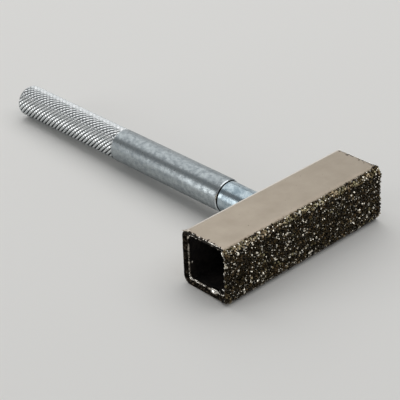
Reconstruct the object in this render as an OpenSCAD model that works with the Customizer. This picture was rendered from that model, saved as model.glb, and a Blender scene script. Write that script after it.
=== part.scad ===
// Diamond wheel dresser, a hand tool that trues and cleans grinding wheels.
// A short square steel tube carries a layer of diamond grit on its front and is riveted
// across the end of a turned steel handle with a diamond-knurled grip.
// X runs along the head, the grit faces -Y, the handle runs along +Y and Z is up.
// The origin is the middle of the flat under the tube.

/* [Head tube] */
// Length of the square tube
head_length = 45; // [30:0.5:60]
// Outer width of the square tube
tube_width = 12.7; // [11.5:0.1:16]
// Wall thickness of the tube
tube_wall = 1.2; // [0.8:0.1:1.6]
// Radius of the tube's long outer corners
tube_outer_radius = 1.8; // [1.2:0.1:2.4]
// Radius of the tube's long inner corners
tube_inner_radius = 1.1; // [0.5:0.1:1.6]

/* [Grit layer] */
// Thickness of the layer of grit and its nickel bond
grit_thickness = 0.45; // [0.3:0.05:0.8]
// How far the layer reaches round the front corners, in degrees from the front face
grit_wrap_angle = 56; // [40:1:70]

/* [Handle] */
// Diameter of the plain bar
handle_diameter = 7.6; // [6.6:0.1:9]
// Length of the plain bar, from the shoulder to the knurl
plain_length = 33.8; // [15:0.2:60]
// Length of the neck between the head and the shoulder
neck_length = 10; // [4:0.5:20]
// Height of the shoulder, from the neck up to the plain bar
shoulder_step = 0.3; // [0.25:0.05:0.8]
// Chamfer on the shoulder's edge
shoulder_chamfer = 0.2; // [0.05:0.05:0.25]

/* [Knurled grip] */
// Length of the grip, from the plain bar to the free end
knurl_length = 34.6; // [20:0.2:60]
// Number of teeth around the grip
knurl_teeth = 20; // [14:1:28]
// Depth of the grooves between the teeth
knurl_depth = 0.3; // [0.1:0.05:0.45]
// How far the crests of the teeth lie below the plain bar
knurl_relief = 0.03; // [0.02:0.01:0.1]
// Radius that rounds the free end
end_radius = 0.9; // [0.6:0.1:1.5]

/* [Riveted joint] */
// Width of the neck's face that seats on the tube, around the tenon
tenon_seat = 1; // [0.6:0.1:1.4]
// Gap between the tenon and its hole in the tube, on the radius
tenon_clearance = 0.05; // [0.02:0.01:0.1]
// How far the peened head spreads past the tenon, on the radius
rivet_spread = 0.8; // [0.4:0.1:1]
// Height of the peened head inside the tube
rivet_height = 1.1; // [0.6:0.1:1.6]

/* [Hidden] */
$fn = 96;

// Head
front_face = -tube_width / 2;
rear_face = tube_width / 2;
bore_width = tube_width - 2 * tube_wall;
grit_wrap = tube_outer_radius * (1 - cos(grit_wrap_angle));

// Handle
axis_height = tube_width / 2;
handle_radius = handle_diameter / 2;
neck_radius = handle_radius - shoulder_step;
tenon_radius = neck_radius - tenon_seat;
rivet_radius = tenon_radius + rivet_spread;
rivet_dome_radius = (pow(rivet_radius, 2) + pow(rivet_height, 2)) / (2 * rivet_height);
plain_end = neck_length + plain_length;
free_end = plain_end + knurl_length;

// Knurl: two sets of grooves cross at a right angle and leave rows of four-sided teeth.
// Crests and pits alternate around each ring, and each ring is turned by one step from the last,
// so the grooves run from pit to pit. The first two rings lie inside the plain bar.
crest_radius = handle_radius - knurl_relief;
pit_radius = crest_radius - knurl_depth;
ring_points = 2 * knurl_teeth;
straight_length = knurl_length - end_radius;
ring_count = round(straight_length * ring_points / (PI * handle_diameter));
ring_step = straight_length / (ring_count - 0.5);
straight_rings = [for (k = [-1:ring_count]) [plain_end + (k - 0.5) * ring_step, crest_radius]];
rounding_rings = [
    for (angle = [30:30:90])
        [free_end - end_radius * (1 - sin(angle)), crest_radius - end_radius * (1 - cos(angle))]
];
rings = concat(straight_rings, rounding_rings);

// Outline of a square with round corners, centred on X and standing on the X axis
module tube_outline(width, radius) {
    side = width / 2 - radius;
    translate([0, width / 2]) {
        square([width, 2 * side], center = true);
        square([2 * side, width], center = true);
        for (x = [-side, side], y = [-side, side])
            translate([x, y])
                circle(radius);
    }
}

// Carries an outline drawn in Y and Z along the head
module along_head(length) {
    rotate([90, 0, 90])
        linear_extrude(length, center = true)
            children();
}

// Section of the space inside the tube
module bore_outline() {
    translate([0, tube_wall])
        tube_outline(bore_width, tube_inner_radius);
}

// Section of the tube's front with its grit, flush with the tube's top and bottom
module coated_front_outline() {
    intersection() {
        translate([0, -grit_thickness])
            tube_outline(tube_width + 2 * grit_thickness, tube_outer_radius + grit_thickness);
        translate([front_face - grit_thickness, 0])
            square([grit_thickness + grit_wrap, tube_width]);
    }
}

// Turned bar from the tenon to the start of the knurl, along Z from the tube's rear face
module turned_bar() {
    chamfer = min(shoulder_chamfer, shoulder_step);
    rotate_extrude()
        polygon([
            [0, -tube_wall - rivet_height / 2],
            [tenon_radius, -tube_wall - rivet_height / 2],
            [tenon_radius, 0],
            [neck_radius, 0],
            [neck_radius, neck_length],
            [handle_radius - chamfer, neck_length],
            [handle_radius, neck_length + chamfer],
            [handle_radius, plain_end],
            [0, plain_end]
        ]);
}

// Domed head that the tenon's end was hammered into
module peened_head() {
    rotate_extrude()
        intersection() {
            translate([0, rivet_dome_radius - rivet_height - tube_wall])
                circle(rivet_dome_radius);
            translate([0, -rivet_height - tube_wall])
                square([rivet_radius, rivet_height]);
        }
}

// Radius of one point of the knurl: a crest or a pit, inside the rounded end
function knurl_radius(ring, point) =
    let (tooth = ring > 0 && (ring + point) % 2 == 0 ? crest_radius : pit_radius)
    min(tooth, rings[ring][1]);

// The two triangles between neighbouring points of two rings, split along the groove
function knurl_cell(ring, point) =
    let (
        next = (point + 1) % ring_points,
        a = ring * ring_points + point,
        b = ring * ring_points + next,
        c = (ring + 1) * ring_points + next,
        d = (ring + 1) * ring_points + point
    )
    (ring + point) % 2 == 0 ? [[a, d, b], [b, d, c]] : [[a, d, c], [a, c, b]];

// Knurled grip with its rounded free end
module knurled_grip() {
    last_ring = len(rings) - 1;
    points = [
        for (ring = [0:last_ring], point = [0:ring_points - 1])
            let (angle = point * 360 / ring_points, radius = knurl_radius(ring, point))
            [radius * cos(angle), radius * sin(angle), rings[ring][0]]
    ];
    walls = [
        for (ring = [0:last_ring - 1], point = [0:ring_points - 1])
            each knurl_cell(ring, point)
    ];
    start_cap = [for (point = [0:ring_points - 1]) point];
    end_cap = [for (point = [ring_points - 1:-1:0]) last_ring * ring_points + point];
    polyhedron(points, concat(walls, [start_cap, end_cap]), convexity = 4);
}

// Square tube with the tenon's hole in the middle of its rear wall
module head_tube() {
    color("#aca294")
        difference() {
            along_head(head_length)
                difference() {
                    tube_outline(tube_width, tube_outer_radius);
                    bore_outline();
                }
            translate([0, rear_face - tube_wall / 2, axis_height])
                rotate([90, 0, 0])
                    cylinder(r = tenon_radius + tenon_clearance, h = 2 * tube_wall, center = true);
        }
}

// Layer of diamond grit over the front face, its long corners and the ends of the front wall
module diamond_coating() {
    color("#4a4034")
        difference() {
            along_head(head_length + 2 * grit_thickness)
                coated_front_outline();
            along_head(head_length)
                tube_outline(tube_width, tube_outer_radius);
            along_head(head_length + 4 * grit_thickness)
                bore_outline();
        }
}

// Handle with its neck, grip and riveted tenon, turned from one bar
module handle() {
    color("#a9b0b4")
        translate([0, rear_face, axis_height])
            rotate([-90, 0, 0]) {
                turned_bar();
                peened_head();
                knurled_grip();
            }
}

head_tube();
diamond_coating();
handle();
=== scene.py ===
"""Diamond wheel dresser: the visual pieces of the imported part, in a plain studio.

The frame is the part's own: X runs along the head, the grit faces -Y, the handle runs along +Y
and Z is up. The origin is the middle of the flat under the tube. Blender's lengths are metres,
and the sizes in the classes of pieces are millimetres.
"""

import logging
import math
from dataclasses import dataclass
from enum import IntEnum
from typing import Any, Sequence

import bmesh
import bpy
import numpy as np
from mathutils import Matrix, Vector, noise


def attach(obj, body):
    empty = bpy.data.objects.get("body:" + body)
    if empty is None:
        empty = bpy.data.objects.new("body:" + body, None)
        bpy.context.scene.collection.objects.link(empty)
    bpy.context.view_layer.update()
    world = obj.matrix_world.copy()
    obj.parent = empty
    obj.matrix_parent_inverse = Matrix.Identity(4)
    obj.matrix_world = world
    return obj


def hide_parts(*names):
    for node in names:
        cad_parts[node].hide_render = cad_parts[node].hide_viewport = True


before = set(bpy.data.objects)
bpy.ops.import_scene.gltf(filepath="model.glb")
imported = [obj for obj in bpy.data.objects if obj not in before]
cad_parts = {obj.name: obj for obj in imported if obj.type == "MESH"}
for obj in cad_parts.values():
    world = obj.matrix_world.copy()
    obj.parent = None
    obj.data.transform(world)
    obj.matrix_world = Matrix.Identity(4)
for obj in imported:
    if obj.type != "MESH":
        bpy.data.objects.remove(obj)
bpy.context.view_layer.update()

MM = 0.001
BODY = "root"
# Shift of the noise along X, Y and Z for each step of a seed
SEED_SHIFT = (17.3, 5.9, 29.1)
# Angle that the wave texture turns through over one unit of its scale, in radians
WAVE_TURN = 20.0
Colour = tuple[float, ...]
Pair = tuple[float, float]
Triple = tuple[float, float, float]
log = logging.getLogger("dresser")


def linear(hex_colour: str) -> Colour:
    """Turns an sRGB hex colour into the linear colour that a shader takes.

    Args:
        hex_colour: The colour as "#rrggbb".

    Returns:
        Linear red, green and blue, and an alpha of one.
    """
    parts = [int(hex_colour[at:at + 2], 16) / 255 for at in (1, 3, 5)]
    light = [p / 12.92 if p <= 0.04045 else ((p + 0.055) / 1.055) ** 2.4 for p in parts]
    return (*light, 1.0)


def per_size(size_mm: float) -> float:
    """Returns the texture scale at which a pattern repeats about every size_mm."""
    return 1.0 / (size_mm * MM)


def set_inputs(
    tree: bpy.types.NodeTree, node: bpy.types.Node, inputs: dict[str | int, Any]
) -> None:
    """Gives a node's inputs their values and links.

    Args:
        tree: The node tree that the node is in.
        node: The node.
        inputs: Each input's name or number, with its value or the output that feeds it.
    """
    for key, value in inputs.items():
        if isinstance(value, bpy.types.NodeSocket):
            tree.links.new(value, node.inputs[key])
        else:
            node.inputs[key].default_value = value


def add_node(
    tree: bpy.types.NodeTree,
    kind: str,
    inputs: dict[str | int, Any] | None = None,
    stops: Sequence[tuple[float, str]] = (),
    **settings: Any,
) -> bpy.types.Node:
    """Adds a shader node with its settings, values and links.

    Args:
        tree: The node tree that the node goes into.
        kind: The node's type.
        inputs: Each input's name or number, with its value or the output that feeds it.
        stops: Places and hex colours of a colour ramp.
        **settings: Other properties of the node.

    Returns:
        The new node.
    """
    node = tree.nodes.new(kind)
    for name, value in settings.items():
        setattr(node, name, value)
    for place, _ in stops[1:-1]:
        node.color_ramp.elements.new(place)
    for at, (place, colour) in enumerate(stops):
        node.color_ramp.elements[at].position = place
        node.color_ramp.elements[at].color = linear(colour)
    set_inputs(tree, node, inputs or {})
    return node


def new_material(name: str) -> tuple[bpy.types.Material, bpy.types.NodeTree, bpy.types.Node]:
    """Starts a material with an empty principled shader.

    Args:
        name: The material's name.

    Returns:
        The material, its node tree and its shader.
    """
    material = bpy.data.materials.new(name)
    material.use_nodes = True
    tree = material.node_tree
    return material, tree, tree.nodes["Principled BSDF"]


def grid_quads(
    rows: int, columns: int, wrap_rows: bool = False, wrap_columns: bool = True
) -> np.ndarray:
    """Lists the four-sided faces of a grid of points.

    Args:
        rows: Number of rows of points.
        columns: Number of points in a row.
        wrap_rows: Joins the last row to the first.
        wrap_columns: Joins the last point of a row to its first.

    Returns:
        Point numbers, four for each face, row after row.
    """
    i = np.arange(rows if wrap_rows else rows - 1)[:, None]
    j = np.arange(columns if wrap_columns else columns - 1)[None, :]
    up, on = (i + 1) % rows, (j + 1) % columns
    corners = [i * columns + j, i * columns + on, up * columns + on, up * columns + j]
    return np.stack(corners, axis=-1).reshape(-1, 4)


def end_caps(rows: int, columns: int) -> list[list[int]]:
    """Lists the two faces that close the ends of a tube of points.

    Args:
        rows: Number of rings of points.
        columns: Number of points in a ring.

    Returns:
        Point numbers of the face on the first ring and of the one on the last.
    """
    ring = list(range(columns))
    return [ring[::-1], [point + (rows - 1) * columns for point in ring]]


def smoothstep(values: np.ndarray | float) -> np.ndarray:
    """Eases values from 0 to 1 and holds them outside that range."""
    t = np.clip(values, 0.0, 1.0)
    return t * t * (3.0 - 2.0 * t)


@dataclass(frozen=True)
class Bumps:
    """One layer of smooth random bumps.

    Attributes:
        height: Greatest height of the bumps, above and below the surface.
        width: Width of the bumps.
        seed: Number that shifts the pattern.
    """

    height: float
    width: float
    seed: float

    def at(self, points: np.ndarray, later: float = 0.0) -> np.ndarray:
        """Works out the bumps' height.

        Args:
            points: Places, three numbers each.
            later: Steps from the seed to another pattern of the same kind.

        Returns:
            One height for each place.
        """
        shift = Vector([(self.seed + later) * step for step in SEED_SHIFT])
        return self.height * np.array([noise.noise(Vector(p) / self.width + shift) for p in points])


def make_piece(
    name: str,
    points_mm: np.ndarray,
    faces: Sequence[Sequence[int]],
    finishes: Sequence[bpy.types.Material],
    zones: np.ndarray | None = None,
    crease: float | None = 30.0,
    marks: dict[str, np.ndarray] | None = None,
) -> bpy.types.Object:
    """Makes one mesh object and puts it on the part's body.

    Args:
        name: The piece's name.
        points_mm: Places in the part's frame, in millimetres.
        faces: Point numbers of each face.
        finishes: Materials, in the order of the zones.
        zones: Material number of each face, or None where there is one.
        crease: Angle in degrees above which an edge stays sharp, or None for flat facets.
        marks: Named values for each point that a material reads.

    Returns:
        The new object.
    """
    mesh = bpy.data.meshes.new(name)
    mesh.from_pydata((np.asarray(points_mm) * MM).tolist(), [], faces)
    for finish in finishes:
        mesh.materials.append(finish)
    if zones is not None:
        mesh.polygons.foreach_set("material_index", np.asarray(zones, np.int32))
    for key, values in (marks or {}).items():
        mark = mesh.attributes.new(key, "FLOAT", "POINT")
        mark.data.foreach_set("value", np.asarray(values, np.float32))
    mesh.polygons.foreach_set("use_smooth", [crease is not None] * len(mesh.polygons))
    if crease is not None:
        mesh.set_sharp_from_angle(angle=math.radians(crease))
    mesh.update()
    piece = bpy.data.objects.new(name, mesh)
    bpy.context.scene.collection.objects.link(piece)
    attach(piece, BODY)
    log.info("%s: %d points, %d faces", name, len(mesh.vertices), len(mesh.polygons))
    return piece


@dataclass(frozen=True)
class ZincPlate:
    """Bright zinc plate on a turned steel bar.

    Electroplated zinc is a cool, bluish grey mirror that handling has dulled in blotches, so
    highlights on it break up into clouds. Fine lines left by the lathe run round the bar.

    Attributes:
        name: The material's name.
        bright: Colour of the cleanest plate.
        dull: Colour of the blotches.
        smoothest: Roughness where the plate is clean.
        roughest: Roughness in the blotches.
        blotch_mm: Width of the blotches.
        blotch_stretch: Scale along X, Y and Z that draws the blotches out along the bar.
        blotch_edges: Noise levels at which a blotch begins and is full.
        blotch_depth: Strength of the blotches' relief.
        blotch_height_mm: Height of that relief.
        turning_mm: Spacing of the lathe's lines, drawn coarser than real so that they show.
        turning_depth: Strength of those lines.
        turning_height_mm: Height of those lines.
        groove_shade: Colour painted deep in the grooves as shade, or None where there are none.
        groove_shade_edges: Depths in a groove, as shares, at which that shade begins and is full.
        groove_shade_cover: How far the full painted shade hides the plate.
        grazing_shade: Tint of the plate's reflection at a grazing angle; below white it is painted
        shade for teeth that shade each other.
    """

    name: str
    bright: str = "#a6adaf"
    dull: str = "#838a8e"
    smoothest: float = 0.26
    roughest: float = 0.46
    blotch_mm: float = 0.85
    blotch_stretch: Triple = (1.0, 0.8, 1.0)
    blotch_edges: Pair = (0.34, 0.68)
    blotch_depth: float = 0.2
    blotch_height_mm: float = 0.03
    turning_mm: float = 2.2
    turning_depth: float = 0.08
    turning_height_mm: float = 0.02
    groove_shade: str | None = None
    groove_shade_edges: Pair = (0.3, 1.0)
    groove_shade_cover: float = 0.85
    grazing_shade: str = "#ffffff"

    def build(self) -> bpy.types.Material:
        """Builds the material."""
        material, tree, shader = new_material(self.name)
        place = add_node(tree, "ShaderNodeTexCoord").outputs["Object"]
        drawn = add_node(tree, "ShaderNodeMapping", {"Vector": place, "Scale": self.blotch_stretch})
        blotch = add_node(tree, "ShaderNodeTexNoise", {
            "Vector": drawn.outputs[0], "Scale": per_size(self.blotch_mm),
            "Detail": 8.0, "Roughness": 0.72,
        }).outputs["Fac"]
        spread = add_node(tree, "ShaderNodeMapRange", {
            "Value": blotch, "From Min": self.blotch_edges[0], "From Max": self.blotch_edges[1],
        }, interpolation_type="SMOOTHSTEP").outputs[0]
        colour = add_node(tree, "ShaderNodeMix", {
            0: spread, 6: linear(self.bright), 7: linear(self.dull),
        }, data_type="RGBA").outputs[2]
        # Painted shade: the plate darkens with its depth in the knurl's grooves
        if self.groove_shade:
            groove = add_node(tree, "ShaderNodeAttribute", attribute_name="groove").outputs["Fac"]
            groove_shading = add_node(tree, "ShaderNodeMapRange", {
                "Value": groove, "From Min": self.groove_shade_edges[0], "From Max": self.groove_shade_edges[1],
                "To Max": self.groove_shade_cover,
            }, interpolation_type="SMOOTHSTEP").outputs[0]
            colour = add_node(tree, "ShaderNodeMix", {
                0: groove_shading, 6: colour, 7: linear(self.groove_shade),
            }, data_type="RGBA").outputs[2]
        sheen = add_node(tree, "ShaderNodeMapRange", {
            "Value": spread, "To Min": self.smoothest, "To Max": self.roughest,
        }).outputs[0]
        lines = add_node(tree, "ShaderNodeTexWave", {
            "Vector": place, "Scale": per_size(self.turning_mm) * math.tau / WAVE_TURN,
            "Distortion": 0.6, "Detail": 2.0, "Detail Scale": 3.0,
        }, bands_direction="Y").outputs["Fac"]
        turned = add_node(tree, "ShaderNodeBump", {
            "Height": lines, "Strength": self.turning_depth,
            "Distance": self.turning_height_mm * MM,
        }).outputs[0]
        clouded = add_node(tree, "ShaderNodeBump", {
            "Height": blotch, "Strength": self.blotch_depth,
            "Distance": self.blotch_height_mm * MM, "Normal": turned,
        }).outputs[0]
        # Below white, the tint darkens reflections at grazing angles as painted shade
        set_inputs(tree, shader, {
            "Metallic": 1.0, "Specular Tint": linear(self.grazing_shade),
            "Base Color": colour, "Roughness": sheen, "Normal": clouded,
        })
        return material


@dataclass(frozen=True)
class DullNickelPlate:
    """Dull nickel plate on drawn steel tube.

    Matt nickel is a warm, yellowish grey. It scatters the light evenly, so the flat top shows no
    picture of the room, and it browns a little where the grit was plated on.

    Attributes:
        name: The material's name.
        light: Lighter colour of the plate.
        shade: Darker colour of its faint clouds.
        cloud_mm: Width of the clouds.
        smoothest: Roughness of the lighter plate.
        roughest: Roughness of the clouds.
        speck_mm: Width of the specks in the plate.
        speck_depth: Strength of the specks' relief.
        speck_height_mm: Height of that relief.
        stain: Colour along the border of the grit.
        stain_from: Place along Y where the stain is full, in millimetres.
        stain_to: Place along Y where it has faded, in millimetres.
        stain_ragged_mm: How far the specks break up that border.
        stain_cover: How far the full stain hides the plate.
        rear_highlight: Painted highlight along the rounded rear corners, pale where they catch
            light.
        rear_highlight_from: Place along Y where the highlight's band begins, in millimetres.
        rear_highlight_to: Place along Y where it ends, in millimetres.
        rear_highlight_edges: Shares of that band between which the highlight is full.
        nick: Colour of the small chips along the sawn ends.
        nick_mm: Width of the chips.
        nick_edges: Noise levels at which a chip begins and is full.
        nick_zone_mm: How far from an end the chips begin.
        nick_rise: How much the noise level rises towards the end.
        end: Distance of the ends from the middle, in millimetres.
    """

    name: str
    light: str = "#b1a697"
    shade: str = "#9d9283"
    cloud_mm: float = 4.0
    smoothest: float = 0.32
    roughest: float = 0.45
    speck_mm: float = 0.5
    speck_depth: float = 0.12
    speck_height_mm: float = 0.04
    stain: str = "#5d4d3a"
    stain_from: float = -5.75
    stain_to: float = -5.15
    stain_ragged_mm: float = 1.6
    stain_cover: float = 0.75
    # Painted highlight along the rear corners
    rear_highlight: str = "#ece6dc"
    rear_highlight_from: float = 4.75
    rear_highlight_to: float = 6.25
    rear_highlight_edges: Pair = (0.35, 0.7)
    nick: str = "#3b322a"
    nick_mm: float = 0.6
    nick_edges: Pair = (0.74, 0.8)
    nick_zone_mm: float = 1.3
    nick_rise: float = 0.3
    end: float = 22.5

    def build(self) -> bpy.types.Material:
        """Builds the material."""
        material, tree, shader = new_material(self.name)
        place = add_node(tree, "ShaderNodeTexCoord").outputs["Object"]
        clouds = add_node(tree, "ShaderNodeTexNoise", {
            "Vector": place, "Scale": per_size(self.cloud_mm), "Detail": 4.0, "Roughness": 0.55,
        }).outputs["Fac"]
        plate = add_node(tree, "ShaderNodeMix", {
            0: clouds, 6: linear(self.light), 7: linear(self.shade),
        }, data_type="RGBA").outputs[2]
        specks = add_node(tree, "ShaderNodeTexNoise", {
            "Vector": place, "Scale": per_size(self.speck_mm), "Detail": 3.0, "Roughness": 0.7,
        }).outputs["Fac"]
        along = add_node(tree, "ShaderNodeSeparateXYZ", {0: place})
        ragged = add_node(tree, "ShaderNodeMath", {
            0: specks, 1: self.stain_ragged_mm * MM, 2: along.outputs["Y"],
        }, operation="MULTIPLY_ADD").outputs[0]
        # The specks lie about a half, so the border moves by half of what they add
        moved = self.stain_ragged_mm / 2
        browned = add_node(tree, "ShaderNodeMapRange", {
            "Value": ragged, "From Min": (self.stain_from + moved) * MM,
            "From Max": (self.stain_to + moved) * MM, "To Min": self.stain_cover, "To Max": 0.0,
        }, interpolation_type="SMOOTHSTEP").outputs[0]
        stained = add_node(tree, "ShaderNodeMix", {
            0: browned, 6: plate, 7: linear(self.stain),
        }, data_type="RGBA").outputs[2]
        # Painted highlight: a pale band across the rear corners, where the rounded edge catches the
        # light
        across = add_node(tree, "ShaderNodeMapRange", {
            "Value": along.outputs["Y"], "From Min": self.rear_highlight_from * MM,
            "From Max": self.rear_highlight_to * MM,
        }).outputs[0]
        first, last = self.rear_highlight_edges
        band = add_node(
            tree, "ShaderNodeValToRGB", {0: across},
            stops=[(0.0, "#000000"), (first, "#ffffff"), (last, "#ffffff"), (1.0, "#000000")],
        ).outputs[0]
        highlighted = add_node(tree, "ShaderNodeMix", {
            0: band, 6: stained, 7: linear(self.rear_highlight),
        }, data_type="RGBA").outputs[2]
        from_middle = add_node(
            tree, "ShaderNodeMath", {0: along.outputs["X"]}, operation="ABSOLUTE"
        ).outputs[0]
        near_end = add_node(tree, "ShaderNodeMapRange", {
            "Value": from_middle, "From Min": (self.end - self.nick_zone_mm) * MM,
            "From Max": self.end * MM, "To Min": 0.0, "To Max": self.nick_rise,
        }).outputs[0]
        chips = add_node(tree, "ShaderNodeTexNoise", {
            "Vector": place, "Scale": per_size(self.nick_mm), "Detail": 2.0, "Roughness": 0.5,
        }).outputs["Fac"]
        chipped = add_node(
            tree, "ShaderNodeMath", {0: chips, 1: near_end}, operation="ADD"
        ).outputs[0]
        nicks = add_node(tree, "ShaderNodeMapRange", {
            "Value": chipped, "From Min": self.nick_edges[0], "From Max": self.nick_edges[1],
        }, interpolation_type="SMOOTHSTEP").outputs[0]
        colour = add_node(tree, "ShaderNodeMix", {
            0: nicks, 6: highlighted, 7: linear(self.nick),
        }, data_type="RGBA").outputs[2]
        sheen = add_node(tree, "ShaderNodeMapRange", {
            "Value": clouds, "To Min": self.smoothest, "To Max": self.roughest,
        }).outputs[0]
        relief = add_node(tree, "ShaderNodeBump", {
            "Height": specks, "Strength": self.speck_depth, "Distance": self.speck_height_mm * MM,
        }).outputs[0]
        set_inputs(tree, shader, {
            "Metallic": 1.0, "Base Color": colour, "Roughness": sheen, "Normal": relief,
        })
        return material


@dataclass(frozen=True)
class PatchedMetal:
    """Metal of two colours in irregular patches, each with its own gloss.

    A sawn and plated tube end, the scaled steel inside a tube, a nickel bond and the beads of
    nickel that grow on edges all look like this, at different scales.

    Attributes:
        name: The material's name.
        high: Colour of the raised or clean patches.
        low: Colour of the pits or scaled patches.
        patch_mm: Width of the patches.
        share: Noise level about which the patches divide.
        blend: Noise on each side of that level over which they run into each other.
        metallic: How far the surface is bare metal.
        gloss: Roughness of the clean patches.
        matt: Roughness of the other patches.
        relief_depth: Strength of the patches' relief.
        relief_mm: Height of that relief.
    """

    name: str
    high: str
    low: str
    patch_mm: float
    share: float = 0.5
    blend: float = 0.12
    metallic: float = 1.0
    gloss: float = 0.3
    matt: float = 0.6
    relief_depth: float = 0.6
    relief_mm: float = 0.05

    def build(self) -> bpy.types.Material:
        """Builds the material."""
        material, tree, shader = new_material(self.name)
        place = add_node(tree, "ShaderNodeTexCoord").outputs["Object"]
        patches = add_node(tree, "ShaderNodeTexNoise", {
            "Vector": place, "Scale": per_size(self.patch_mm), "Detail": 4.0, "Roughness": 0.6,
        }).outputs["Fac"]
        divide = add_node(tree, "ShaderNodeMapRange", {
            "Value": patches, "From Min": self.share - self.blend,
            "From Max": self.share + self.blend,
        }, interpolation_type="SMOOTHSTEP").outputs[0]
        colour = add_node(tree, "ShaderNodeMix", {
            0: divide, 6: linear(self.low), 7: linear(self.high),
        }, data_type="RGBA").outputs[2]
        sheen = add_node(tree, "ShaderNodeMapRange", {
            "Value": divide, "To Min": self.matt, "To Max": self.gloss,
        }).outputs[0]
        relief = add_node(tree, "ShaderNodeBump", {
            "Height": patches, "Strength": self.relief_depth, "Distance": self.relief_mm * MM,
        }).outputs[0]
        set_inputs(tree, shader, {
            "Metallic": self.metallic, "Base Color": colour, "Roughness": sheen, "Normal": relief,
        })
        return material


@dataclass(frozen=True)
class DiamondGrain:
    """Synthetic diamond grit, set in a nickel bond.

    The crystals are amber to olive and hard and bright, so some facets mirror the lamps and
    others look down into their own dark body.

    Attributes:
        name: The material's name.
        tones: Body colours from the darkest grain to the palest.
        amber: Cast of the patches of amber grains.
        olive: Cast of the patches of olive grains.
        cast_mm: Width of those patches.
        cast_edges: Noise levels up to which grains are amber and from which they are olive.
        tint: Colour of the light that the facets throw back.
        ior: Refractive index of diamond.
        shine: Level of that reflection, lowered because the bond smears over the facets.
        scuff_mm: Width of the scuffs on the facets.
        scuff_edges: Noise levels at which a scuff begins and is full.
        smoothest: Roughness of a clean facet.
        roughest: Roughness of a scuffed one.
    """

    name: str
    tones: tuple[str, ...] = ("#060403", "#1e160d", "#564831", "#cfc5a9", "#efe5c8")
    amber: str = "#fff0e8"
    olive: str = "#eff3df"
    cast_mm: float = 3.0
    cast_edges: Pair = (0.38, 0.62)
    tint: str = "#dcc697"
    ior: float = 2.417
    shine: float = 0.11
    scuff_mm: float = 0.2
    scuff_edges: Pair = (0.35, 0.7)
    smoothest: float = 0.05
    roughest: float = 0.24

    def build(self) -> bpy.types.Material:
        """Builds the material."""
        material, tree, shader = new_material(self.name)
        tone = add_node(tree, "ShaderNodeAttribute", attribute_name="grain_tone").outputs["Fac"]
        steps = len(self.tones) - 1
        body = add_node(
            tree, "ShaderNodeValToRGB", {0: tone},
            stops=[(at / steps, colour) for at, colour in enumerate(self.tones)],
        ).outputs[0]
        place = add_node(tree, "ShaderNodeTexCoord").outputs["Object"]
        drift = add_node(tree, "ShaderNodeTexNoise", {
            "Vector": place, "Scale": per_size(self.cast_mm),
        }).outputs["Fac"]
        cast = add_node(
            tree, "ShaderNodeValToRGB", {0: drift},
            stops=list(zip(self.cast_edges, (self.amber, self.olive))),
        ).outputs[0]
        colour = add_node(tree, "ShaderNodeMix", {
            0: 1.0, 6: body, 7: cast,
        }, data_type="RGBA", blend_type="MULTIPLY").outputs[2]
        scuffs = add_node(tree, "ShaderNodeTexNoise", {
            "Vector": place, "Scale": per_size(self.scuff_mm), "Detail": 2.0,
        }).outputs["Fac"]
        sheen = add_node(tree, "ShaderNodeMapRange", {
            "Value": scuffs, "From Min": self.scuff_edges[0], "From Max": self.scuff_edges[1],
            "To Min": self.smoothest, "To Max": self.roughest,
        }).outputs[0]
        set_inputs(tree, shader, {
            "IOR": self.ior, "Specular IOR Level": self.shine, "Specular Tint": linear(self.tint),
            "Base Color": colour, "Roughness": sheen,
        })
        return material


class TubeZone(IntEnum):
    """Surfaces of the tube, in the order of its materials."""

    OUTSIDE = 0
    RIM = 1
    EDGE = 2
    BORE = 3
    BURR = 4


class GrainKind(IntEnum):
    """Kinds of grain, in the order of the grit's materials."""

    DIAMOND = 0
    CAPPED = 1


class HandleZone(IntEnum):
    """Turned surfaces of the handle, in the order of its materials."""

    NECK = 0
    BAR = 1
    GRIP = 2
    END = 3
    CHAMFER = 4
    RECESS = 5


@dataclass(frozen=True)
class SawMarks:
    """Marks that the saw and the plating leave near an end of the tube.

    Attributes:
        coarse: Form of the coarse bumps, to be given a height.
        fine: Form of the fine bumps, to be given a height.
        coarse_height: Height of the coarse bumps along the tube, in millimetres as all sizes here.
        fine_height: Height of the fine bumps along the tube.
        fine_swell: Height of the fine bumps across the wall.
        edge_height: Height of the lumps on the inner edge, along the tube.
        edge_fine: Share of the fine bumps in those lumps.
        edge_swell: How far the lumps reach into the bore.
        edge_from: Share of the wall from which the lumps grow.
        edge_growth: Share of the wall over which they grow.
        outer_reach: How far the marks reach from the end on the outside.
        inner_reach: How far they reach past the bevel on the inside.
        fade: Length over which they fade.
        burr: Length of the saw's burr at the top rear corner of the left end.
        burr_lift: Share of that length by which the burr's tip is bent up.
        burr_width: Distance from the burr's middle to its edge.
        burr_wall: Share of the wall that the burr takes.
        burr_clean: Distance from the burr's middle up to which its plate is clean.
        burr_place: Place of its middle inside the top rear corner, as shares of the outer radius.
    """

    coarse: Bumps = Bumps(1.0, 1.1, 2.0)
    fine: Bumps = Bumps(1.0, 0.35, 5.0)
    coarse_height: float = 0.035
    fine_height: float = 0.03
    fine_swell: float = 0.02
    edge_height: float = 0.09
    edge_fine: float = 0.6
    edge_swell: float = 0.07
    edge_from: float = 0.7
    edge_growth: float = 0.3
    outer_reach: float = 0.3
    inner_reach: float = 0.8
    fade: float = 0.3
    burr: float = 1.2
    burr_lift: float = 0.55
    burr_width: float = 0.8
    burr_wall: float = 0.1
    burr_clean: float = 0.6
    burr_place: Pair = (0.7, 0.1)


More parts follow.
